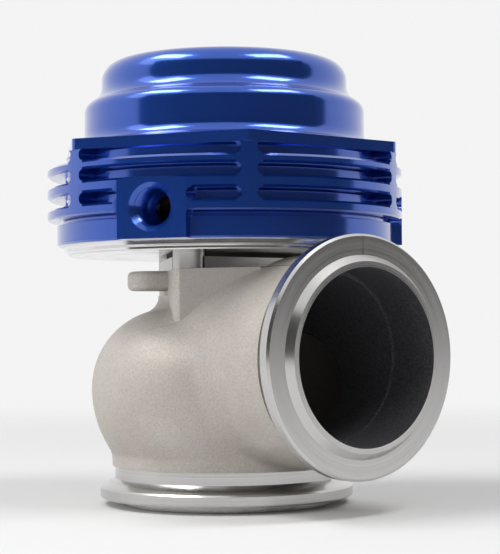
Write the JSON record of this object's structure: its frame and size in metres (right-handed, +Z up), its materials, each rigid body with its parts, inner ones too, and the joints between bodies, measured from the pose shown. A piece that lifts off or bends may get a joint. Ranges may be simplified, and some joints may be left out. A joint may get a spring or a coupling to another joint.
{
  "type": "turbo wastegate",
  "caption": "External turbo wastegate: cast body with clamp-flange inlet and side outlet, and a diaphragm actuator in a finned blue housing that lifts a sprung poppet valve",
  "frame": {"origin": "centre of the inlet, on the lowest face of the valve seat's lip", "axes": "+Z runs up the valve stem to the cap, +X points out of the outlet, +Y completes a right-handed frame"},
  "size_m": [0.0907, 0.0834, 0.1023],
  "materials": {
    "cast_steel": "bead-blasted stainless casting, flanges and inlet neck machined bright",
    "seat_steel": "ground hardened steel",
    "valve_steel": "heat-resistant steel, turned",
    "bronze": "turned bronze",
    "turned_steel": "turned stainless",
    "gasket": "graphite-faced gasket sheet",
    "turned_aluminium": "bare turned aluminium, polished edge",
    "blue_anodised": "deep blue anodising, bright satin with fine turning marks",
    "seal_rubber": "moulded fluoro rubber",
    "diaphragm_rubber": "fabric-reinforced silicone rubber",
    "screw_steel": "black alloy steel",
    "plain_aluminium": "machined aluminium",
    "spring_steel": "oil-tempered spring wire",
    "zinc_steel": "zinc-plated steel"
  },
  "bodies": {
    "housing": {"valve_body": "cast_steel", "valve_seat": "seat_steel", "valve_guide": "bronze", "guide_seal": "turned_steel", "insulator_plate": "turned_steel", "neck_gasket": "gasket", "standoffs": "turned_steel", "base_plate": "turned_aluminium", "base_seal": "seal_rubber", "neck_screws": "screw_steel", "lower_housing": "blue_anodised", "stem_bush": "bronze", "stem_seal": "seal_rubber", "cap_screws": "screw_steel", "top_cap": "blue_anodised", "diaphragm": "diaphragm_rubber", "outer_spring": "spring_steel", "middle_spring": "spring_steel", "inner_spring": "spring_steel"},
    "valve": {"valve": "valve_steel", "support_washer": "plain_aluminium", "piston_cup": "plain_aluminium", "spring_seat": "plain_aluminium", "stem_washer": "zinc_steel", "stem_nut": "zinc_steel"}
  },
  "joints": [
    {"name": "valve_lift", "type": "slide", "parent": "housing", "child": "valve", "axis": [0, 0, 1], "range_m": [0, 0.0095], "stiffness_N_per_m": 7500, "springref_m": -0.0133, "deforming": ["diaphragm", "outer_spring", "middle_spring", "inner_spring"]}
  ]
}
